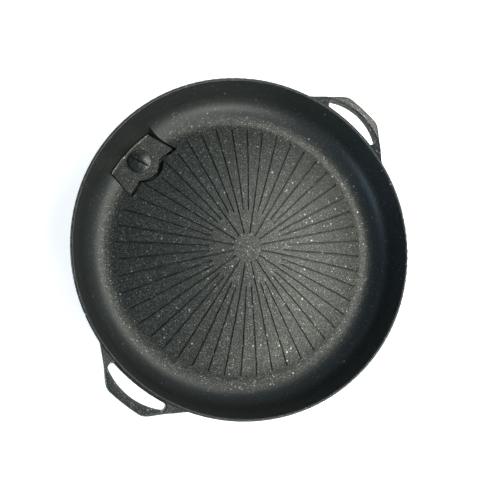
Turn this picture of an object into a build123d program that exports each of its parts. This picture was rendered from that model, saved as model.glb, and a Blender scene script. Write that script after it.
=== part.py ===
from build123d import *
import math
import os

# A round grill pan of cast aluminium: a domed cooking disc with radial grooves, a gutter, a sloping
# wall with two loop handles, and a grease drain under a loose cover with a turning knob.
# Millimetres, +Z up. The origin is on the table, at the middle of the pan. The handles lie along X
# and the drain lies towards +Y.

# Bowl
rim_radius = 170.0             # outside of the rim
rim_width = 3.2                # level width of the wall at the rim
rim_height = 56.0              # from the table to the top of the rim
rim_round = 1.3
bowl_depth = 42.0              # from the rim down to the gutter
floor_thickness = 4.0          # dome and gutter
wall_foot_radius = 155.6       # where the line of the wall would meet the level of the gutter
wall_fillet = 25.0             # between the gutter and the wall, inside
dome_rise = 17.0               # from the gutter up to the middle of the dome
gutter_flat = 3.0              # between the foot of the dome and the start of the wall's fillet
gutter_fillet = 12.0           # between the dome and the gutter

# Foot ring under the dome
foot_ring_radius = 108.0
foot_ring_width = 4.0

# Radial grooves of the dome
groove_count = 48
groove_long_every = 3          # every third groove runs on towards the middle
groove_outer_radius = 128.7
groove_short_inner_radius = 39.9
groove_long_inner_radius = 15.5
groove_width = 2.0             # at the surface
groove_floor_width = 0.7
groove_depth = 1.4
groove_to_pocket = 4.0         # land left between a groove's end and the drain pocket

# Loop handles
handle_reach = 190.2           # from the middle of the pan to the outer edge of the grip
handle_grip_width = 8.0
handle_flat_half = 16.0        # half of the straight stretch of the grip
handle_corner_half = 25.0      # half of the handle's width where its sides begin
handle_corner_reach = 185.2
handle_waist_half = 35.0       # half of its width half way along the side
handle_waist_reach = 175.3
handle_flare_half = 45.0       # half of its width where the side turns along the rim
handle_flare_reach = 166.8
handle_root_half = 58.0        # half of the handle's width where it leaves the rim
handle_root_reach = 166.0      # where the handle's top comes out of the wall and starts to rise
handle_crest_reach = 179.0     # from here outwards the top of the grip is level
handle_rise = 5.5              # of the grip's top above the rim
handle_drop = 2.5              # of the handle's top below the rim at the wall
handle_grip_height = 5.2       # at the outer edge
handle_root_height = 10.0
handle_round = 2.4
slot_half_length = 32.0
slot_wall_gap = 0.9            # between the slot and the outside of the wall at the rim
slot_bow_radius = 66.0         # of the slot's edge along the grip
slot_corner_round = 2.8
slot_edge_round = 1.5

# Drain cover, a plate that follows the gutter
knob_offset = 138.5            # from the middle of the pan to the axis of the knob
cover_outer_radius = 153.5
cover_inner_radius = 126.5
cover_outer_half = 27.8
cover_inner_half = 33.7
cover_bulge_radius = 20.0
cover_corner_round = 1.5
cover_thickness = 2.6
cover_below_gutter = 2.8
cover_edge_round = 0.7
cover_lip_width = 2.6          # the outer edge curls up along the wall
cover_lip_height = 0.9
cover_lip_round = 0.3
hub_radius = 7.0
hub_height = 1.2

# Drain pocket in the pan
pocket_side_gap = 1.0
pocket_outer_gap = 0.7
pocket_inlet_gap = 2.5         # where the fat runs in, along the cover's inner edge
pocket_draft = 3.0             # degrees, below the level of the gutter
mouth_draft = 17.0             # degrees, where the pocket opens into the gutter and the wall
mouth_height = 22.0            # from the gutter's level to above where it runs out in the wall
ledge_width = 2.5              # under the cover's sides and outer edge
well_depth = 5.2               # from the ledge down to the floor of the well
well_floor_thickness = 2.4
well_wall = 4.5
hole_offset = 13.0             # from the axis of the knob to the middle of the drain hole
hole_radius = 5.0
drip_lip_width = 1.4
drip_lip_height = 0.7

# Knob, in its rest position its fin is turned away from the line to the middle of the pan
knob_rest_angle = 14.0         # degrees
knob_radius = 11.3
knob_edge_height = 2.8
knob_crown = 2.0
knob_lift = 0.1                # running gap between the knob and the cover
knob_edge_round = 0.5
fin_length = 20.0
fin_width = 2.2
fin_height = 2.6               # above the middle of the knob
fin_end_drop = 1.6
fin_round = 0.8
stem_radius = 4.0
stem_clearance = 0.05          # running fit in the cover's bore

# Seal ring in the stem
ring_section_radius = 0.6
ring_squeeze = 0.05            # left between the ring and the bore
ring_groove_width = 1.5
ring_groove_clearance = 0.02

# Shutter under the cover
shutter_thickness = 1.5
shutter_hub_radius = 7.0
spigot_radius = 2.6
spigot_flat_half = 1.9
spigot_clearance = 0.03
spigot_short = 0.1             # so that the screw clamps the paddle and not the spigot
pad_radius = 6.5
pad_thickness = 1.15
pad_running_gap = 0.1          # between the pad and the floor of the well
pad_edge_margin = 0.7          # of the paddle beyond the pad
pad_neck_radius = 2.0
pad_head_radius = 2.9
pad_head_height = 0.7
pad_clearance = 0.03

# Spring washer between the hub and the paddle
washer_thickness = 0.35
washer_inner_gap = 0.25
washer_outer_radius = 6.7
washer_top_gap = 0.05

# Screw that holds the paddle
screw_radius = 1.25
screw_length = 5.0
screw_head_radius = 3.3
screw_head_height = 0.8
screw_clearance = 0.02
screw_recess_radius = 1.1
screw_recess_depth = 0.5

overrun = 5.0                  # how far cutting tools run past what they cut

# Levels and places worked out from the sizes above
gutter_level = rim_height - bowl_depth
cover_top = gutter_level - cover_below_gutter
ledge_level = cover_top - cover_thickness
well_floor_level = ledge_level - well_depth
well_bottom_level = well_floor_level - well_floor_thickness
hub_bottom = ledge_level - hub_height
pad_bottom = well_floor_level + pad_running_gap
shutter_bottom = pad_bottom + pad_thickness
shutter_top = shutter_bottom + shutter_thickness
knob_base = cover_top + knob_lift
rim_inner_radius = rim_radius - rim_width
wall_angle = math.atan2(bowl_depth, rim_inner_radius - wall_foot_radius)
wall_fillet_reach = wall_fillet * math.tan(wall_angle / 2)
dome_edge_radius = wall_foot_radius - wall_fillet_reach - gutter_flat
dome_radius = (dome_edge_radius ** 2 + dome_rise ** 2) / (2 * dome_rise)
dome_centre_level = gutter_level + dome_rise - dome_radius


def revolve_about_z(outline):
    """Turn a closed outline in the XZ plane all the way round the Z axis."""
    return revolve(make_face(outline), Axis.Z, 360)


def bowl_curve(share):
    """The bowl's section in the XZ plane, from the axis to the rim.

    A share of 0 is the inside surface, 1 is the outside surface, and 0.5 is half way through.
    """
    drop = share * floor_thickness
    level = gutter_level - drop
    radius = dome_radius - drop
    top = dome_centre_level + radius
    edge = math.sqrt(radius ** 2 - (level - dome_centre_level) ** 2)
    half = edge / 2
    half_level = dome_centre_level + math.sqrt(radius ** 2 - half ** 2)
    foot = wall_foot_radius + share * rim_width - drop / math.tan(wall_angle)
    rim = rim_inner_radius + share * rim_width
    dome = ThreePointArc((0, 0, top), (half, 0, half_level), (edge, 0, level))
    gutter = Line((edge, 0, level), (foot, 0, level))
    wall = Line((foot, 0, level), (rim, 0, rim_height))
    return dome, gutter, wall


def rounded_bowl_wire(share):
    """The bowl's section with its fillets, as one open wire."""
    dome, gutter, wall = bowl_curve(share)
    wire = Wire([dome, gutter, wall])
    drop = share * floor_thickness
    corners = {gutter @ 0: gutter_fillet + drop, gutter @ 1: wall_fillet + drop}
    for place, radius in corners.items():
        nearest = wire.vertices().sort_by_distance(place)[0]
        wire = wire.fillet_2d(radius, [nearest])
    return wire


def bowl_shell():
    """Dome, gutter and wall as one even skin with a rounded rim."""
    inside = rounded_bowl_wire(0)
    outside = rounded_bowl_wire(1)
    rim = Line((rim_inner_radius, 0, rim_height), (rim_radius, 0, rim_height))
    axis = Line((0, 0, gutter_level + dome_rise), (0, 0, gutter_level + dome_rise - floor_thickness))
    section = make_face(inside.edges() + outside.edges() + [rim, axis])
    rim_corners = section.vertices().filter_by(lambda v: abs(v.Z - rim_height) < rim_round / 2)
    section = fillet(rim_corners, rim_round)
    return revolve(section, Axis.Z, 360)


def outside_of_bowl():
    """All the space outside and below the middle of the bowl's skin."""
    curve = rounded_bowl_wire(1 / 2)
    rim_end = rim_inner_radius + rim_width / 2
    top = dome_centre_level + dome_radius - floor_thickness / 2
    far = handle_reach + overrun
    high = rim_height + handle_rise + overrun
    border = Polyline(
        (rim_end, 0, rim_height),
        (rim_end, 0, high),
        (far, 0, high),
        (far, 0, -overrun),
        (0, 0, -overrun),
        (0, 0, top),
    )
    return revolve_about_z(curve.edges() + border.edges())


def disc(radius, low, high):
    """A plain upright disc about the Z axis."""
    return extrude(Plane.XY.offset(low) * Circle(radius), high - low)


def ring(outer, inner, low, high):
    """A plain upright ring about the Z axis."""
    return disc(outer, low, high) - disc(inner, low, high)


def handle_outline():
    """The handle seen from above: a straight grip, round corners and flares that run into the rim."""
    root_reach = math.sqrt(rim_radius ** 2 - handle_root_half ** 2) - rim_width / 2
    grip_bow = (handle_reach - handle_corner_reach) / 4
    sides = []
    for way in (1, -1):
        corner = Spline(
            (handle_reach - grip_bow / 2, way * handle_flat_half),
            (handle_corner_reach, way * handle_corner_half),
            (handle_waist_reach, way * handle_waist_half),
            (handle_flare_reach, way * handle_flare_half),
            (root_reach, way * handle_root_half),
            tangents=[(-grip_bow, way * handle_flat_half), (-handle_root_half, way * root_reach)],
        )
        sides.append(corner)
    grip = ThreePointArc(sides[0] @ 0, (handle_reach, 0), sides[1] @ 0)
    inner = wall_foot_radius
    back = Polyline(sides[0] @ 1, (inner, handle_root_half), (inner, -handle_root_half), sides[1] @ 1)
    return make_face(sides + [grip] + back.edges())


def handle_slot():
    """The finger slot seen from above: a crescent between the wall and the bowed edge of the grip."""
    near = rim_radius + slot_wall_gap
    far = handle_reach - handle_grip_width
    bow = Pos(far - slot_bow_radius, 0) * Circle(slot_bow_radius)
    window = Pos(far - slot_half_length / 2, 0) * Rectangle(slot_half_length, 2 * slot_half_length)
    slot = (bow - Circle(near)) & window
    return fillet(slot.vertices(), slot_corner_round)


def handle_underside(radius):
    """The level of the handle's underside at a radius: it slopes up evenly to the outer edge."""
    root_level = rim_height - handle_drop - handle_root_height
    grip_level = rim_height + handle_rise - handle_grip_height
    share = (radius - rim_radius) / (handle_reach - rim_radius)
    return root_level + share * (grip_level - root_level)


def handle_band():
    """The band about the pan's axis that both handles are cut from: it rises and thins outwards."""
    root_top = rim_height - handle_drop
    grip_top = rim_height + handle_rise
    near = wall_foot_radius
    far = handle_reach + overrun / 2
    outline = Polyline(
        (near, 0, root_top),
        (handle_root_reach, 0, root_top),
        (handle_crest_reach, 0, grip_top),
        (far, 0, grip_top),
        (far, 0, handle_underside(far)),
        (near, 0, handle_underside(near)),
        close=True,
    )
    return revolve_about_z(outline.edges())


def level_edges(shape, least_x):
    """The edges that run more along the handle than up and down, beyond a distance from the axis."""
    found = shape.edges().filter_by(lambda e: abs((e % (1 / 2)).Z) < 1 / 2)
    return found.filter_by(lambda e: (e @ (1 / 2)).X > least_x)


def inside_slot(face):
    """Whether a face is an upright one, in the slot and not on the outside of the handle."""
    place = face.center()
    upright = abs(face.normal_at(place).Z) < 1 / 2
    far = handle_reach - handle_grip_width / 2
    near = rim_inner_radius
    return upright and near < place.X < far and abs(place.Y) < slot_half_length + rim_width / 2


def handle():
    """One loop handle, on the +X side, before it is joined to the wall."""
    tall = rim_height + handle_rise + overrun
    blank = extrude(handle_outline(), tall) & handle_band()
    blank = fillet(level_edges(blank, handle_flare_reach), handle_round)
    slot = extrude(handle_slot(), tall)
    body = blank - slot
    slot_faces = body.faces().filter_by(inside_slot)
    slot_edges = ShapeList([edge for face in slot_faces for edge in level_edges(face, 0)])
    return fillet(slot_edges, slot_edge_round)


def drain_outline(outer, inner, outer_half, inner_half, bulge):
    """A plate between two arcs about the pan's axis, with flared sides and a bulge about the knob."""
    outer_place = math.sqrt(outer ** 2 - outer_half ** 2)
    inner_place = math.sqrt(inner ** 2 - inner_half ** 2)
    far = ThreePointArc((-outer_half, outer_place), (0, outer), (outer_half, outer_place))
    right = Line((outer_half, outer_place), (inner_half, inner_place))
    near = ThreePointArc((inner_half, inner_place), (0, inner), (-inner_half, inner_place))
    left = Line((-inner_half, inner_place), (-outer_half, outer_place))
    plate = make_face([far, right, near, left])
    plate += (Pos(0, knob_offset) * Circle(bulge)) & Circle(outer)
    return fillet(plate.vertices(), cover_corner_round)


def cover_outline():
    """The loose cover seen from above."""
    return drain_outline(
        cover_outer_radius,
        cover_inner_radius,
        cover_outer_half,
        cover_inner_half,
        cover_bulge_radius,
    )


def pocket_outline(wall):
    """The pocket that the cover lies in, or with a wall the casting round it."""
    return drain_outline(
        cover_outer_radius + pocket_outer_gap + wall,
        cover_inner_radius - pocket_inlet_gap - wall,
        cover_outer_half + pocket_side_gap + wall,
        cover_inner_half + pocket_side_gap + wall,
        cover_bulge_radius + pocket_inlet_gap + wall,
    )


def well_outline():
    """The well below the cover: it leaves a ledge under the cover's sides and outer edge."""
    return drain_outline(
        cover_outer_radius - ledge_width,
        cover_inner_radius - pocket_inlet_gap,
        cover_outer_half - ledge_width,
        cover_inner_half - ledge_width,
        cover_bulge_radius + pocket_inlet_gap,
    )


def drain_casting():
    """The lump of metal under the gutter that holds the well, with a lip that fat drips from."""
    block = extrude(Plane.XY.offset(well_bottom_level) * pocket_outline(well_wall), rim_height)
    lip_place = Pos(hole_offset, knob_offset)
    lip_low = well_bottom_level - drip_lip_height
    lip = ring(hole_radius + drip_lip_width, hole_radius, lip_low, well_floor_level)
    return block + lip_place * lip


def drain_cuts():
    """The pocket, its mouth that opens into gutter and wall, the well under it and the drain hole."""
    pocket_height = gutter_level - ledge_level
    pocket = extrude(Plane.XY.offset(ledge_level) * pocket_outline(0), pocket_height, taper=-pocket_draft)
    mouth = extrude(pocket.faces().sort_by(Axis.Z)[-1], mouth_height, taper=-mouth_draft)
    well = extrude(Plane.XY.offset(well_floor_level) * well_outline(), well_depth)
    hole_height = well_floor_level - well_bottom_level + 2 * overrun
    hole = Pos(hole_offset, knob_offset, well_floor_level) * Cylinder(hole_radius, 2 * hole_height)
    return [pocket, mouth, well, hole]


def groove_end(turn):
    """How far out a groove runs, for its turn in radians from the line to the drain."""
    side = knob_offset * math.sin(turn)
    bulge = cover_bulge_radius + pocket_inlet_gap
    pocket_inner = cover_inner_radius - pocket_inlet_gap
    pocket_turn = math.asin((cover_inner_half + pocket_side_gap) / pocket_inner)
    if abs(side) < bulge and math.cos(turn) > 0:
        edge = knob_offset * math.cos(turn) - math.sqrt(bulge ** 2 - side ** 2)
        pocket_inner = min(pocket_inner, edge)
        return pocket_inner - groove_to_pocket
    if abs(turn) < pocket_turn:
        return pocket_inner - groove_to_pocket
    return groove_outer_radius


def groove(inner, outer):
    """One groove along +X: a tapered channel that follows the dome, with round ends."""
    low = dome_radius - groove_depth
    high = dome_radius + overrun
    slope = (groove_width - groove_floor_width) / (2 * groove_depth)
    floor_half = groove_floor_width / 2
    top_half = groove_width / 2 + slope * overrun
    section = make_face(Polyline(
        (0, -floor_half, low),
        (0, floor_half, low),
        (0, top_half, high),
        (0, -top_half, high),
        close=True,
    ))
    end = Pos(0, 0, (low + high) / 2) * Cone(floor_half, top_half, high - low)
    start_angle = math.degrees(math.asin(inner / dome_radius))
    end_angle = math.degrees(math.asin(outer / dome_radius))
    channel = revolve(section.rotate(Axis.Y, start_angle), Axis.Y, end_angle - start_angle)
    tool = channel + end.rotate(Axis.Y, start_angle) + end.rotate(Axis.Y, end_angle)
    return Pos(0, 0, dome_centre_level) * tool


def grooves():
    """The whole fan of grooves, spaced so that a short one points at the drain."""
    tools = []
    for number in range(groove_count):
        angle = number * 2 * math.pi / groove_count
        turn = (angle + math.pi) % (2 * math.pi) - math.pi
        is_long = number % groove_long_every == 1
        inner = groove_long_inner_radius if is_long else groove_short_inner_radius
        tool = groove(inner, groove_end(turn))
        tools.append(Rot(0, 0, 90 + math.degrees(angle)) * tool)
    return tools


def foot_ring():
    """The ring that the pan stands on, up into the dome's skin."""
    return ring(foot_ring_radius, foot_ring_radius - foot_ring_width, 0, gutter_level + dome_rise)


def pan_body():
    """The whole casting."""
    below = outside_of_bowl()
    body = bowl_shell() + (foot_ring() & below) + (drain_casting() & below)
    for turn in (0, 180):
        body += Rot(0, 0, turn) * (handle() & below)
    body -= drain_cuts()
    body -= grooves()
    return body


def cover_lip():
    """The outer edge of the cover, which curls up a little along the wall."""
    inner = cover_outer_radius - cover_lip_width
    top = cover_top + cover_lip_height
    curl = ThreePointArc(
        (inner, 0, cover_top),
        (cover_outer_radius - cover_lip_width / 3, 0, cover_top + cover_lip_height / 3),
        (cover_outer_radius, 0, top),
    )
    border = Polyline(curl @ 1, (cover_outer_radius, 0, ledge_level), (inner, 0, ledge_level), curl @ 0)
    ridge = revolve_about_z([curl] + list(border.edges()))
    lip = ridge & extrude(cover_outline(), rim_height)
    ends = lip.edges().filter_by(lambda edge: abs(edge.center().Z - top) < cover_lip_round)
    return fillet(ends, cover_lip_round)


def drain_cover():
    """The loose plate, with the hub that the knob's stem turns in."""
    plate = extrude(Plane.XY.offset(ledge_level) * cover_outline(), cover_thickness)
    top_edges = plate.faces().sort_by(Axis.Z)[-1].edges()
    plate = fillet(top_edges, cover_edge_round)
    plate += cover_lip()
    plate += Pos(0, knob_offset) * disc(hub_radius, hub_bottom, ledge_level)
    bore = Cylinder(stem_radius + stem_clearance, 2 * rim_height)
    return plate - Pos(0, knob_offset) * bore


def at_knob(piece):
    """Put a piece built about the Z axis at the knob, turned as the knob rests."""
    return Pos(0, knob_offset) * Rot(0, 0, knob_rest_angle) * piece


def drain_knob():
    """A low domed button with a pinch fin, and the stem that carries the paddle."""
    edge_top = knob_base + knob_edge_height
    crown_radius = (knob_radius ** 2 + knob_crown ** 2) / (2 * knob_crown)
    half = knob_radius / 2
    half_level = edge_top + knob_crown - crown_radius + math.sqrt(crown_radius ** 2 - half ** 2)
    ring_level = (hub_bottom + cover_top) / 2
    ring_low = ring_level - ring_groove_width / 2
    ring_high = ring_level + ring_groove_width / 2
    ring_centre = stem_radius + stem_clearance - ring_squeeze - ring_section_radius
    ring_floor = ring_centre - ring_section_radius - ring_groove_clearance
    crown = ThreePointArc(
        (0, 0, edge_top + knob_crown),
        (half, 0, half_level),
        (knob_radius, 0, edge_top),
    )
    side = Polyline(
        (knob_radius, 0, edge_top),
        (knob_radius, 0, knob_base),
        (stem_radius, 0, knob_base),
        (stem_radius, 0, ring_high),
        (ring_floor, 0, ring_high),
        (ring_floor, 0, ring_low),
        (stem_radius, 0, ring_low),
        (stem_radius, 0, shutter_top),
        (0, 0, shutter_top),
        (0, 0, edge_top + knob_crown),
    )
    knob = revolve_about_z([crown] + list(side.edges()))
    rims = knob.edges().filter_by(lambda edge: edge.bounding_box().size.X > knob_radius + stem_radius)
    knob = fillet(rims.sort_by(Axis.Z)[-1], knob_edge_round)
    fin_top = edge_top + knob_crown + fin_height
    end_level = fin_top - fin_end_drop
    fin_half = fin_length / 2
    top = ThreePointArc((0, -fin_half, end_level), (0, 0, fin_top), (0, fin_half, end_level))
    foot = Polyline((0, fin_half, end_level), (0, fin_half, knob_base), (0, -fin_half, knob_base), top @ 0)
    fin = extrude(make_face([top] + list(foot.edges())), fin_width / 2, both=True)
    ridge = fin.faces().sort_by(Axis.Z)[-1]
    fin = fillet(ridge.edges().filter_by(lambda e: e.length > fin_length / 2), fin_round)
    knob += fin
    spigot_bottom = shutter_bottom + spigot_short
    spigot = Circle(spigot_radius) & Rectangle(2 * spigot_flat_half, 2 * spigot_radius)
    knob += extrude(Plane.XY.offset(spigot_bottom) * spigot, shutter_top - spigot_bottom)
    hole = Cylinder(screw_radius + screw_clearance, 2 * screw_length)
    return at_knob(knob - Pos(0, 0, shutter_bottom) * hole)


def stem_seal_ring():
    """The round-section ring in the stem's groove."""
    centre = stem_radius + stem_clearance - ring_squeeze - ring_section_radius
    section = Plane.XZ * Pos(centre, (hub_bottom + cover_top) / 2) * Circle(ring_section_radius)
    return at_knob(revolve(section, Axis.Z, 360))


def spring_washer():
    """A dished washer between the hub and the paddle."""
    inner = stem_radius + washer_inner_gap
    top = hub_bottom - washer_top_gap
    outline = Polyline(
        (inner, 0, top),
        (inner, 0, top - washer_thickness),
        (washer_outer_radius, 0, shutter_top),
        (washer_outer_radius, 0, shutter_top + washer_thickness),
        close=True,
    )
    return at_knob(revolve_about_z(outline.edges()))


def drain_shutter():
    """The paddle that swings over the drain hole."""
    hub = Circle(shutter_hub_radius)
    tip = Pos(0, -hole_offset) * Circle(pad_radius + pad_edge_margin)
    paddle = make_hull(hub.edges() + tip.edges())
    opening_radius = spigot_radius + spigot_clearance
    opening_width = 2 * (spigot_flat_half + spigot_clearance)
    paddle -= Circle(opening_radius) & Rectangle(opening_width, 2 * opening_radius)
    paddle -= Pos(0, -hole_offset) * Circle(pad_neck_radius + pad_clearance)
    return at_knob(extrude(Plane.XY.offset(shutter_bottom) * paddle, shutter_thickness))


def shutter_seal_pad():
    """The soft pad that closes the hole, with the button that holds it in the paddle."""
    pad = disc(pad_radius, pad_bottom, shutter_bottom)
    neck = disc(pad_neck_radius, shutter_bottom, shutter_top)
    head = disc(pad_head_radius, shutter_top, shutter_top + pad_head_height)
    return at_knob(Pos(0, -hole_offset) * (pad + neck + head))


def shutter_screw():
    """The screw up into the stem, whose head clamps the paddle."""
    head_bottom = shutter_bottom - screw_head_height
    head = disc(screw_head_radius, head_bottom, shutter_bottom)
    shank = disc(screw_radius, shutter_bottom, shutter_bottom + screw_length)
    recess = disc(screw_recess_radius, head_bottom, head_bottom + screw_recess_depth)
    return at_knob(head + shank - recess)


pieces = {
    "pan_body": pan_body,
    "drain_cover": drain_cover,
    "drain_knob": drain_knob,
    "stem_seal_ring": stem_seal_ring,
    "spring_washer": spring_washer,
    "drain_shutter": drain_shutter,
    "shutter_seal_pad": shutter_seal_pad,
    "shutter_screw": shutter_screw,
}

os.makedirs("parts", exist_ok=True)
for name, make in pieces.items():
    export_step(make(), f"parts/{name}.step")
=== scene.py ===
"""Finishes and stages a round domed grill pan with loop handles and a covered grease drain."""

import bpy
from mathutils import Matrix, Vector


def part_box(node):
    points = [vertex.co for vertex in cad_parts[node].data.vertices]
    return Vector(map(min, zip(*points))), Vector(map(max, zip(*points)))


bl_info = {
    "name": "Grill pan finishes",
    "version": (1, 0, 0),
    "blender": (4, 5, 0),
    "location": "3D View > Sidebar > Grill Pan",
    "description": "Speckled coating, drain parts, stage and camera for a domed grill pan",
    "category": "Object",
}

import math

import bpy
from bpy.props import FloatProperty, FloatVectorProperty, PointerProperty
from bpy.types import Operator, Panel, PropertyGroup
from mathutils import Matrix, Vector

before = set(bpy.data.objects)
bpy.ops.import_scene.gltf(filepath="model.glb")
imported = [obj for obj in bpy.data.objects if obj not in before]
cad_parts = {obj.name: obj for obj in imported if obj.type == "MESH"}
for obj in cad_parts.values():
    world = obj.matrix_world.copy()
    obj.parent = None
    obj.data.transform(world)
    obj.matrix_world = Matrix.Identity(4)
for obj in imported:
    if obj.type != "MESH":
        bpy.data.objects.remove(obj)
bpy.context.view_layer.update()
pan_low, pan_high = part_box("pan_body")
handle_reach = (pan_high.x - pan_low.x) / 2

MILLIMETRE = 0.001
WHITE = (1.0, 1.0, 1.0)

# The middle of a noise, which runs from 0 to 1
NOISE_MIDDLE = 0.5

# The smallest fleck of a size and the soft edge of each, in radii of the largest of that size
SMALLEST_FLECK = 0.5
FLECK_EDGE = 0.25

# The camera's sensor, in millimetres as Blender takes it, and the nearest that it sees
SENSOR_WIDTH = 36
NEAREST_SIGHT = 10 * MILLIMETRE


# Shader expressions


class Value:
    """A number that changes over a surface, so that material maths reads as plain arithmetic."""

    def __init__(self, recipe, socket):
        self.recipe = recipe
        self.socket = socket

    def maths(self, operation, *numbers):
        """One step of arithmetic, as a node."""
        inputs = dict(enumerate(numbers))
        return self.recipe.node("ShaderNodeMath", {"operation": operation}, inputs)

    def __add__(self, other):
        return self.maths("ADD", self, other)

    def __radd__(self, other):
        return self.maths("ADD", other, self)

    def __sub__(self, other):
        return self.maths("SUBTRACT", self, other)

    def __rsub__(self, other):
        return self.maths("SUBTRACT", other, self)

    def __mul__(self, other):
        return self.maths("MULTIPLY", self, other)

    def __rmul__(self, other):
        return self.maths("MULTIPLY", other, self)

    def __pow__(self, other):
        return self.maths("POWER", self, other)

    def above(self, limit):
        """1 where the value is over a limit, else 0."""
        return self.maths("GREATER_THAN", self, limit)

    def or_more(self, other):
        """The larger of two values."""
        return self.maths("MAXIMUM", self, other)

    def wave(self):
        """The sine of the value."""
        return self.maths("SINE", self)

    def ramp(self, start, end):
        """0 up to start, 1 from end on, and smooth between them."""
        inputs = {"Value": self, "From Min": start, "From Max": end}
        return self.recipe.node("ShaderNodeMapRange", {"interpolation_type": "SMOOTHSTEP"}, inputs)


class Recipe:
    """The nodes of one material, or of the world."""

    def __init__(self, owner):
        self.owner = owner
        owner.use_nodes = True
        self.tree = owner.node_tree
        self.tree.nodes.clear()

    def node(self, kind, settings=None, inputs=None, output=0):
        """Add a node: its settings, then its sockets' values or links. Returns one of its outputs."""
        made = self.tree.nodes.new(kind)
        for name, setting in (settings or {}).items():
            setattr(made, name, setting)
        for name, value in (inputs or {}).items():
            if isinstance(value, Value):
                self.tree.links.new(value.socket, made.inputs[name])
            else:
                made.inputs[name].default_value = value
        return Value(self, made.outputs[output]) if made.outputs else None

    def place(self):
        """Where a point lies in the part's own frame, in metres."""
        return self.node("ShaderNodeTexCoord", output="Object")

    def parts(self, vector):
        """The three numbers of a vector."""
        split = self.node("ShaderNodeSeparateXYZ", inputs={"Vector": vector})
        return [Value(self, socket) for socket in split.socket.node.outputs]

    def noise(self, place, size, detail):
        """Soft cloudy variation from 0 to 1, whose blotches are about one size in metres."""
        inputs = {"Vector": place, "Scale": 1 / size, "Detail": detail}
        return self.node("ShaderNodeTexNoise", None, inputs)

    def streaks(self, along, across, up, width, stretch, detail):
        """Noise in lines of about one width, stretched along their first direction."""
        inputs = {"X": along * (1 / stretch), "Y": across, "Z": up}
        return self.noise(self.node("ShaderNodeCombineXYZ", None, inputs), width, detail)

    def mix(self, factor, first, second):
        """One colour or another, by a factor from 0 to 1."""
        node = self.node("ShaderNodeMix", {"data_type": "RGBA"}, {"Factor": factor})
        made = node.socket.node
        colours = [socket for socket in made.inputs if socket.type == "RGBA"]
        for socket, value in zip(colours, (first, second)):
            if isinstance(value, Value):
                self.tree.links.new(value.socket, socket)
            else:
                socket.default_value = (*value, 1)
        return Value(self, next(socket for socket in made.outputs if socket.type == "RGBA"))

    def flecks(self, place, spacing, radius, filled):
        """Round flecks in a filled share of the cells of a random grid, and a random number for each."""
        cell = self.node("ShaderNodeTexVoronoi", None, {"Vector": place, "Scale": 1 / spacing})
        random = Value(self, cell.socket.node.outputs["Color"])
        lots = self.node("ShaderNodeSeparateColor", None, {"Color": random})
        chance, width, tint = [Value(self, socket) for socket in lots.socket.node.outputs]
        reach = radius / spacing
        size = SMALLEST_FLECK + (1 - SMALLEST_FLECK) * width
        inside = (reach * size - cell).ramp(0, reach * FLECK_EDGE)
        return chance.above(1 - filled) * inside, tint

    def bump(self, height, depth):
        """A normal from a height, whose full scale is a depth in metres."""
        return self.node("ShaderNodeBump", None, {"Height": height, "Distance": depth})

    def surface(self, inputs):
        """End the material in one principled surface."""
        shader = self.node("ShaderNodeBsdfPrincipled", None, inputs)
        self.node("ShaderNodeOutputMaterial", None, {"Surface": shader})
        return self.owner


def new_material(name):
    """The empty recipe of a new material."""
    return Recipe(bpy.data.materials.new(name))


def shade(tint, factor):
    """A colour made lighter or darker."""
    return tuple(factor * part for part in tint)


# Sizes and colours


def colour(name, description, default):
    """A linear colour."""
    return FloatVectorProperty(
        name=name, description=description, default=default, subtype="COLOR", min=0, max=1, size=3
    )


def length(name, description, millimetres):
    """A length, given in millimetres and kept in metres."""
    return FloatProperty(
        name=name,
        description=description,
        default=millimetres * MILLIMETRE,
        min=0,
        unit="LENGTH",
        precision=5,
    )


def share(name, description, default):
    """A number from 0 to 1."""
    return FloatProperty(name=name, description=description, default=default, min=0, max=1)


def angle(name, description, degrees):
    """An angle, given in degrees and kept in radians."""
    return FloatProperty(
        name=name, description=description, default=math.radians(degrees), unit="ROTATION"
    )


def amount(name, description, default):
    """A number with no limits."""
    return FloatProperty(name=name, description=description, default=default)


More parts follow.
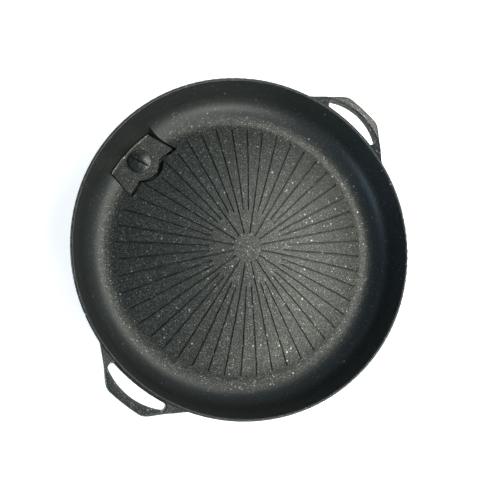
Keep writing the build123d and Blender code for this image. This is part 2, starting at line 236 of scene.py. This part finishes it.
class GrillPanCoating(PropertyGroup):
    """The non-stick coating of the pan, the drain cover and the knob."""

    base: colour("Base", "Dark ground of the coating", (0.015, 0.018, 0.017))
    tone: share("Tone", "How far the ground gets darker and lighter from place to place", 0.28)
    cloud: length("Cloud", "Size of the slow changes in tone", 35)
    cloud_share: share("Cloud share", "Of the slow changes in the tone, the rest being grain", 0.65)
    grain: length("Grain", "Size of the sprayed texture", 1.5)
    grain_depth: length("Grain depth", "Of the sprayed texture", 0.14)
    cream: colour("Cream flecks", "The warmer stone flecks", (0.62, 0.57, 0.43))
    grey: colour("Grey flecks", "The cooler stone flecks", (0.55, 0.58, 0.56))
    mist_radius: length("Mist radius", "Of the finest flecks", 0.5)
    mist_spacing: length("Mist spacing", "Between the finest flecks", 1.0)
    mist_share: share("Mist share", "Of the places that hold a fine fleck", 1.0)
    mist_strength: share("Mist strength", "How well a fine fleck covers the ground", 0.34)
    fleck_radius: length("Fleck radius", "Of the middle flecks", 0.75)
    fleck_spacing: length("Fleck spacing", "Between the middle flecks", 2.2)
    fleck_share: share("Fleck share", "Of the places that hold a middle fleck", 0.36)
    fleck_strength: share("Fleck strength", "How well a middle fleck covers the ground", 0.55)
    stone_radius: length("Stone radius", "Of the largest flecks", 1.2)
    stone_spacing: length("Stone spacing", "Between the largest flecks", 6.0)
    stone_share: share("Stone share", "Of the places that hold a large fleck", 0.4)
    stone_strength: share("Stone strength", "How well a large fleck covers the ground", 0.85)
    fleck_height: share("Fleck height", "How far flecks stand out, next to the sprayed texture", 0.5)
    sparkle: amount("Sparkle", "How metallic the flecks are, next to how strong they are", 2.0)
    cover_flecks: share("Cover flecks", "Amount of flecks on the drain cover", 0.9)
    knob_flecks: share("Knob flecks", "Amount of flecks on the drain's knob", 0.3)
    soft_edge: length("Soft edge", "Half of the width over which wall and dome change", 5)
    # Painted shade: the steep wall between these radii carries fewer pale flecks, so it reads as dark as
    # a wall in shade
    wall_start: length("Wall start", "Radius from which the steep wall carries fewer flecks", 142)
    wall_end: length("Wall end", "Radius up to which the steep wall carries fewer flecks", 170)
    wall_shade_fleck_loss: share("Wall loss", "Share of the flecks that is missing on the wall", 0.9)
    gloss: share("Gloss", "Strength of the satin shine", 0.6)
    roughness: share("Roughness", "Of the satin surface", 0.43)
    cloud_roughness: share("Cloud roughness", "How far roughness follows the slow changes in tone", 0.1)
    grain_roughness: share("Grain roughness", "How far roughness follows the sprayed texture", 0.08)
    knob_polish: share("Knob polish", "How much smoother the knob is", 0.14)
    grip_start: length("Grip start", "From a handle's end inwards to where its rubbed grip starts", 14)
    grip_full: length("Grip full", "From a handle's end inwards to where its grip is fully rubbed", 6)
    grip_polish: share("Grip polish", "How much smoother the grips are", 0.06)
    dome_radius: length("Dome radius", "Up to which tongs mark the dome", 125)
    mark_width: length("Mark width", "Of the fine marks that tongs leave on the dome", 0.25)
    mark_stretch: amount("Mark stretch", "How many times as long as wide the marks are", 50)
    mark_slope: share("Mark slope", "Of the first marks against X", 0.4)
    cross_slope: share("Cross slope", "Of the second marks against Y", 0.6)
    mark_start: share("Mark start", "Level of the noise at which a mark starts", 0.66)
    mark_full: share("Mark full", "Level of the noise at which a mark is full", 0.74)
    mark_polish: share("Mark polish", "How much smoother the marks are", 0.07)


class GrillPanMetal(PropertyGroup):
    """Bare metal and rubber: the turned foot ring and the works of the drain."""

    aluminium: colour("Aluminium", "Turned face of the foot ring", (0.62, 0.62, 0.61))
    worn_height: length("Worn height", "How far up the foot ring is worn bare", 0.3)
    bare_roughness: share("Bare roughness", "Of the worn foot ring", 0.3)
    turning_pitch: length("Turning pitch", "Between the lathe marks on the foot ring", 0.35)
    turning_height: share("Turning height", "Of the lathe marks, next to the coating's grain", 0.5)
    steel: colour("Steel", "Paddle and screw under the cover", (0.56, 0.56, 0.57))
    spring: colour("Spring steel", "Dished washer", (0.45, 0.44, 0.43))
    steel_shade: share("Steel shade", "Tone of the steel's darker places", 0.8)
    steel_roughness: share("Steel roughness", "The least that the steel has", 0.22)
    brush_line: length("Brush line", "Width of the lines in brushed steel", 0.15)
    brush_stretch: amount("Brush stretch", "How many times as long as wide the lines are", 25)
    brush_roughness: share("Brush roughness", "What the lines add", 0.16)
    smudge: length("Smudge", "Size of the smudges on the steel", 4)
    smudge_roughness: share("Smudge roughness", "What the smudges add", 0.1)
    rubber: colour("Silicone", "Seal ring and pad", (0.36, 0.05, 0.03))
    rubber_grain: length("Silicone grain", "Size of the matt grain", 0.25)
    rubber_roughness: share("Silicone roughness", "Without dust", 0.55)
    rubber_gloss: share("Silicone gloss", "Strength of the silicone's shine", 0.4)
    dust: colour("Dust", "On the silicone", (0.5, 0.45, 0.42))
    dust_size: length("Dust size", "Of the dusty places", 3)
    dust_start: share("Dust start", "Level of the noise at which dust starts", 0.5)
    dust_full: share("Dust full", "Level of the noise at which dust is full", 0.8)
    dust_cover: share("Dust cover", "How well full dust covers the silicone", 0.25)
    dust_roughness: share("Dust roughness", "What full dust adds", 0.15)
    fine_depth: length("Fine depth", "Of the brushed lines and of the silicone's grain", 0.01)


class GrillPanStage(PropertyGroup):
    """Camera, lamps, room and floor."""

    lens: amount("Lens", "Focal length in millimetres", 45.42)
    shift_x: amount("Shift X", "Of the camera, in widths of the picture", -0.09375)
    shift_y: amount("Shift Y", "Of the camera, in widths of the picture", 0.03333)
    aim_x: amount("Aim X", "Where the camera looks, in millimetres", 19.47)
    aim_y: amount("Aim Y", "Where the camera looks, in millimetres", -35.87)
    aim_z: amount("Aim Z", "Where the camera looks, in millimetres", 31.0)
    distance: length("Distance", "From the camera to where it looks", 627.8)
    azimuth: angle("Azimuth", "Of the camera round the pan", 151.455)
    elevation: angle("Elevation", "Of the camera over the table", 71.4)
    roll: angle("Roll", "Of the camera about its view", 68.18)
    key_power: amount("Key light", "Power of the wide soft box over the pan", 17.0)
    key_azimuth: angle("Key azimuth", "Of the wide soft box round the pan", -38.0)
    key_zenith: angle("Key zenith", "Of the wide soft box from straight up", 32.0)
    key_width: length("Key width", "Of the wide soft box, along the horizon", 1500)
    key_height: length("Key height", "Of the wide soft box", 600)
    side_power: amount("Side light", "Power of the small soft box beside the pan", 11.5)
    side_azimuth: angle("Side azimuth", "Of the small soft box round the pan", -112.0)
    side_zenith: angle("Side zenith", "Of the small soft box from straight up", 53.0)
    side_width: length("Side width", "Of the small and the cool soft box, along the horizon", 700)
    side_height: length("Side height", "Of the small and the cool soft box", 500)
    window_power: amount("Window light", "Power of the cool soft box at the drain's side", 7.0)
    window_azimuth: angle("Window azimuth", "Of the cool soft box round the pan", 155.0)
    window_zenith: angle("Window zenith", "Of the cool soft box from straight up", 80.0)
    lamp_distance: length("Lamp distance", "Of the soft boxes from the pan", 1500)
    lamp_tint: colour("Lamp tint", "Of the wide and the small soft box", (0.99, 1.0, 0.9))
    fill: share("Fill", "Brightness of the room round the pan", 0.24)
    fill_tint: colour("Fill tint", "Of the room's light and the cool soft box", (0.5, 0.72, 0.95))
    wall_top: share("Wall top", "Where the white of the room's walls starts to fade", 0.05)
    ceiling: share("Ceiling", "Where the room's dim ceiling starts", 0.3)
    floor: colour("Floor", "Pale table top", (0.8, 0.8, 0.8))
    floor_lift: share("Floor lift", "Light of its own that is seen in the floor", 0.8)
    floor_half: length("Floor half", "Half of the floor's width", 3000)


def coating():
    return bpy.context.scene.grill_pan_coating


def metals():
    return bpy.context.scene.grill_pan_metal


def stage():
    return bpy.context.scene.grill_pan_stage


# Finishes


def stone_flecks(recipe, place, ground, flecks):
    """The ground of the coating with three sizes of flecks, and how far they stand out."""
    coat = coating()
    sizes = (
        (coat.mist_spacing, coat.mist_radius, coat.mist_share, coat.mist_strength),
        (coat.fleck_spacing, coat.fleck_radius, coat.fleck_share, coat.fleck_strength),
        (coat.stone_spacing, coat.stone_radius, coat.stone_share, coat.stone_strength),
    )
    base = ground
    relief = 0
    for spacing, radius, filled, strength in sizes:
        mask, tint = recipe.flecks(place, spacing, radius, filled * flecks)
        cover = strength * mask
        base = recipe.mix(cover, base, recipe.mix(tint, coat.cream, coat.grey))
        relief = relief + cover
    return base, relief


def speckled_coating(recipe, place, flecks, polish):
    """Dark satin non-stick coating: its colour, its flecks' sparkle, its roughness and its height."""
    coat = coating()
    clouds = recipe.noise(place, coat.cloud, detail=3)
    grain = recipe.noise(place, coat.grain, detail=2)
    tone = coat.cloud_share * clouds + (1 - coat.cloud_share) * grain
    ground = recipe.mix(tone, shade(coat.base, 1 - coat.tone), shade(coat.base, 1 + coat.tone))
    base, relief = stone_flecks(recipe, place, ground, flecks)
    slow = coat.cloud_roughness * (clouds - NOISE_MIDDLE)
    fine = coat.grain_roughness * (grain - NOISE_MIDDLE)
    roughness = coat.roughness - polish + slow + fine
    height = grain + coat.fleck_height * relief
    return base, coat.sparkle * relief, roughness, height


def tong_marks(recipe, x, y, z):
    """Fine straight marks in two directions, where the coating is rubbed smoother."""
    coat = coating()
    marks = 0
    for first, second, slope in ((x, y, coat.mark_slope), (y, x, coat.cross_slope)):
        along = first + slope * second
        across = second - slope * first
        lines = recipe.streaks(along, across, z, coat.mark_width, coat.mark_stretch, detail=1)
        marks = marks + lines.ramp(coat.mark_start, coat.mark_full)
    return marks


def band(middle):
    """Start and end of a soft change round a radius."""
    return middle - coating().soft_edge, middle + coating().soft_edge


def pan_coating():
    """The coating of the pan itself: rubbed on dome and grips, worn off under the foot ring, and with
    most flecks left off the steep wall as painted shade.
    """
    coat = coating()
    metal = metals()
    recipe = new_material("Pan coating")
    place = recipe.place()
    x, y, z = recipe.parts(place)
    radius = (x * x + y * y) ** 0.5
    # Painted shade: most pale flecks are left off the steep wall, where the wall lies in shade
    wall = radius.ramp(*band(coat.wall_start)) * (1 - radius.ramp(*band(coat.wall_end)))
    flecks = 1 - coat.wall_shade_fleck_loss * wall
    base, sparkle, roughness, height = speckled_coating(recipe, place, flecks, 0)
    grip = radius.ramp(handle_reach - coat.grip_start, handle_reach - coat.grip_full)
    dome = 1 - radius.ramp(*band(coat.dome_radius))
    marks = tong_marks(recipe, x, y, z) * dome
    roughness = roughness - coat.grip_polish * grip - coat.mark_polish * marks
    bare = 1 - z.ramp(metal.worn_height / 2, metal.worn_height)
    turning = (radius * (2 * math.pi / metal.turning_pitch)).wave()
    height = height * (1 - bare) + metal.turning_height * bare * turning
    inputs = {
        "Base Color": recipe.mix(bare, base, metal.aluminium),
        "Metallic": bare.or_more(sparkle),
        "Roughness": roughness * (1 - bare) + metal.bare_roughness * bare,
        "Normal": recipe.bump(height, coat.grain_depth),
        "Specular IOR Level": coat.gloss,
    }
    return recipe.surface(inputs)


def drain_coating(name, flecks, polish):
    """The coating of the drain cover or of its knob."""
    recipe = new_material(name)
    place = recipe.place()
    base, sparkle, roughness, height = speckled_coating(recipe, place, flecks, polish)
    inputs = {
        "Base Color": base,
        "Metallic": sparkle,
        "Roughness": roughness,
        "Normal": recipe.bump(height, coating().grain_depth),
        "Specular IOR Level": coating().gloss,
    }
    return recipe.surface(inputs)


def brushed_steel(name, tint):
    """Steel with fine lines along X."""
    metal = metals()
    recipe = new_material(name)
    place = recipe.place()
    x, y, z = recipe.parts(place)
    lines = recipe.streaks(x, y, z, metal.brush_line, metal.brush_stretch, detail=3)
    smudge = recipe.noise(place, metal.smudge, detail=3)
    added = metal.brush_roughness * lines + metal.smudge_roughness * smudge
    inputs = {
        "Base Color": recipe.mix(smudge, shade(tint, metal.steel_shade), tint),
        "Metallic": 1.0,
        "Roughness": metal.steel_roughness + added,
        "Normal": recipe.bump(lines, metal.fine_depth),
    }
    return recipe.surface(inputs)


def silicone(name, tint):
    """Moulded silicone with a fine matt grain and a little dust."""
    metal = metals()
    recipe = new_material(name)
    place = recipe.place()
    grain = recipe.noise(place, metal.rubber_grain, detail=2)
    dust = recipe.noise(place, metal.dust_size, detail=4).ramp(metal.dust_start, metal.dust_full)
    inputs = {
        "Base Color": recipe.mix(metal.dust_cover * dust, tint, metal.dust),
        "Roughness": metal.rubber_roughness + metal.dust_roughness * dust,
        "Normal": recipe.bump(grain, metal.fine_depth),
        "Specular IOR Level": metal.rubber_gloss,
    }
    return recipe.surface(inputs)


def dress(node, material):
    """Give a node of the frame its finish."""
    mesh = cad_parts[node].data
    mesh.materials.clear()
    mesh.materials.append(material)


class GRILLPAN_OT_body(Operator):
    """Coat the pan's body with speckled coating and wear its foot ring bare"""

    bl_idname = "grillpan.body"
    bl_label = "Coat the pan"

    def execute(self, context):
        dress("pan_body", pan_coating())
        return {"FINISHED"}


class GRILLPAN_OT_drain_top(Operator):
    """Coat the drain cover and its knob"""

    bl_idname = "grillpan.drain_top"
    bl_label = "Coat the drain cover"

    def execute(self, context):
        coat = coating()
        dress("drain_cover", drain_coating("Drain cover coating", coat.cover_flecks, 0))
        dress("drain_knob", drain_coating("Knob coating", coat.knob_flecks, coat.knob_polish))
        return {"FINISHED"}


class GRILLPAN_OT_drain_works(Operator):
    """Finish the steel and silicone parts that hang under the drain cover"""

    bl_idname = "grillpan.drain_works"
    bl_label = "Finish the drain's works"

    def execute(self, context):
        steel = brushed_steel("Shutter steel", metals().steel)
        rubber = silicone("Seal silicone", metals().rubber)
        dress("drain_shutter", steel)
        dress("shutter_screw", steel)
        dress("spring_washer", brushed_steel("Washer spring steel", metals().spring))
        dress("stem_seal_ring", rubber)
        dress("shutter_seal_pad", rubber)
        return {"FINISHED"}


# Stage


def direction(azimuth, zenith):
    """The way from the pan to something round it, by its turn and its tilt from straight up."""
    return Vector((
        math.sin(zenith) * math.cos(azimuth),
        math.sin(zenith) * math.sin(azimuth),
        math.cos(zenith),
    ))


def new_object(name, data):
    """An object in the scene."""
    made = bpy.data.objects.new(name, data)
    bpy.context.scene.collection.objects.link(made)
    return made


def add_camera():
    """A camera that looks down into the pan."""
    plan = stage()
    data = bpy.data.cameras.new("Camera")
    data.lens = plan.lens
    data.sensor_width = SENSOR_WIDTH
    data.shift_x = plan.shift_x
    data.shift_y = plan.shift_y
    data.clip_start = NEAREST_SIGHT
    camera = new_object("Camera", data)
    back = direction(plan.azimuth, math.pi / 2 - plan.elevation)
    aim = Vector((plan.aim_x, plan.aim_y, plan.aim_z)) * MILLIMETRE
    level = back.to_track_quat("Z", "Y").to_matrix().to_4x4()
    turn = Matrix.Rotation(plan.roll, 4, "Z")
    camera.matrix_world = Matrix.Translation(aim + back * plan.distance) @ level @ turn
    bpy.context.scene.camera = camera


def add_soft_box(name, power, tint, azimuth, zenith, width, height):
    """A lamp that looks at the pan."""
    data = bpy.data.lights.new(name, "AREA")
    data.shape = "RECTANGLE"
    data.energy = power
    data.size = width
    data.size_y = height
    data.color = tint
    lamp = new_object(name, data)
    towards = direction(azimuth, zenith)
    lamp.location = towards * stage().lamp_distance
    lamp.rotation_mode = "QUATERNION"
    lamp.rotation_quaternion = towards.to_track_quat("Z", "Y")


def add_lamps():
    """A wide soft box over the pan, a small one beside it and a cool one at the drain's side."""
    plan = stage()
    key = (plan.key_azimuth, plan.key_zenith, plan.key_width, plan.key_height)
    side = (plan.side_azimuth, plan.side_zenith, plan.side_width, plan.side_height)
    window = (plan.window_azimuth, plan.window_zenith, plan.side_width, plan.side_height)
    add_soft_box("Key light", plan.key_power, plan.lamp_tint, *key)
    add_soft_box("Side light", plan.side_power, plan.lamp_tint, *side)
    add_soft_box("Window light", plan.window_power, plan.fill_tint, *window)


def seen_directly(recipe, mirrored=1.0):
    """1 for what the camera sees, also through glass, a share for its reflection, 0 for other light."""
    camera = recipe.node("ShaderNodeLightPath", output="Is Camera Ray")
    outputs = camera.socket.node.outputs
    glossy = Value(recipe, outputs["Is Glossy Ray"])
    through = Value(recipe, outputs["Is Transmission Ray"])
    return camera.or_more(mirrored * glossy).or_more(through)


def add_floor():
    """A pale table top that looks nearly white and takes the pan's shadow."""
    plan = stage()
    half = plan.floor_half
    mesh = bpy.data.meshes.new("Floor")
    corners = [(-half, -half, 0), (half, -half, 0), (half, half, 0), (-half, half, 0)]
    mesh.from_pydata(corners, [], [(0, 1, 2, 3)])
    floor = new_object("Floor", mesh)
    recipe = new_material("Pale table")
    lift = plan.floor_lift * seen_directly(recipe)
    diffuse = recipe.node("ShaderNodeBsdfDiffuse", None, {"Color": (*plan.floor, 1)})
    glow = recipe.node("ShaderNodeEmission", None, {"Strength": lift})
    both = recipe.node("ShaderNodeAddShader", None, {0: diffuse, 1: glow})
    recipe.node("ShaderNodeOutputMaterial", None, {"Surface": both})
    mesh.materials.append(recipe.owner)


def add_room():
    """The room's light. It is seen as white, but reflections show a dim ceiling over white walls."""
    plan = stage()
    world = bpy.data.worlds.new("Studio")
    bpy.context.scene.world = world
    recipe = Recipe(world)
    upward = recipe.parts(recipe.node("ShaderNodeTexCoord", output="Generated"))[2]
    direct = seen_directly(recipe, 1 - upward.ramp(plan.wall_top, plan.ceiling))
    tint = recipe.mix(direct, plan.fill_tint, WHITE)
    strength = plan.fill + (1 - plan.fill) * direct
    room = recipe.node("ShaderNodeBackground", None, {"Color": tint, "Strength": strength})
    recipe.node("ShaderNodeOutputWorld", None, {"Surface": room})


class GRILLPAN_OT_stage(Operator):
    """Set the camera, the soft boxes, the room's light and the pale floor"""

    bl_idname = "grillpan.stage"
    bl_label = "Set the stage"

    def execute(self, context):
        add_camera()
        add_floor()
        add_room()
        add_lamps()
        context.scene.view_settings.view_transform = "Standard"
        return {"FINISHED"}


class GRILLPAN_PT_panel(Panel):
    """Lists the operators and the settings"""

    bl_label = "Grill pan"
    bl_idname = "GRILLPAN_PT_panel"
    bl_space_type = "VIEW_3D"
    bl_region_type = "UI"
    bl_category = "Grill Pan"

    def draw(self, context):
        for operator in OPERATORS:
            self.layout.operator(operator.bl_idname)
        for group in (coating(), metals(), stage()):
            box = self.layout.box()
            for name in group.__annotations__:
                box.prop(group, name)


OPERATORS = (
    GRILLPAN_OT_body,
    GRILLPAN_OT_drain_top,
    GRILLPAN_OT_drain_works,
    GRILLPAN_OT_stage,
)
CLASSES = (GrillPanCoating, GrillPanMetal, GrillPanStage, *OPERATORS, GRILLPAN_PT_panel)


def register():
    for cls in CLASSES:
        bpy.utils.register_class(cls)
    bpy.types.Scene.grill_pan_coating = PointerProperty(type=GrillPanCoating)
    bpy.types.Scene.grill_pan_metal = PointerProperty(type=GrillPanMetal)
    bpy.types.Scene.grill_pan_stage = PointerProperty(type=GrillPanStage)


def unregister():
    del bpy.types.Scene.grill_pan_coating
    del bpy.types.Scene.grill_pan_metal
    del bpy.types.Scene.grill_pan_stage
    for cls in reversed(CLASSES):
        bpy.utils.unregister_class(cls)


def main():
    register()
    bpy.ops.grillpan.body()
    bpy.ops.grillpan.drain_top()
    bpy.ops.grillpan.drain_works()
    bpy.ops.grillpan.stage()


if __name__ == "__main__":
    main()
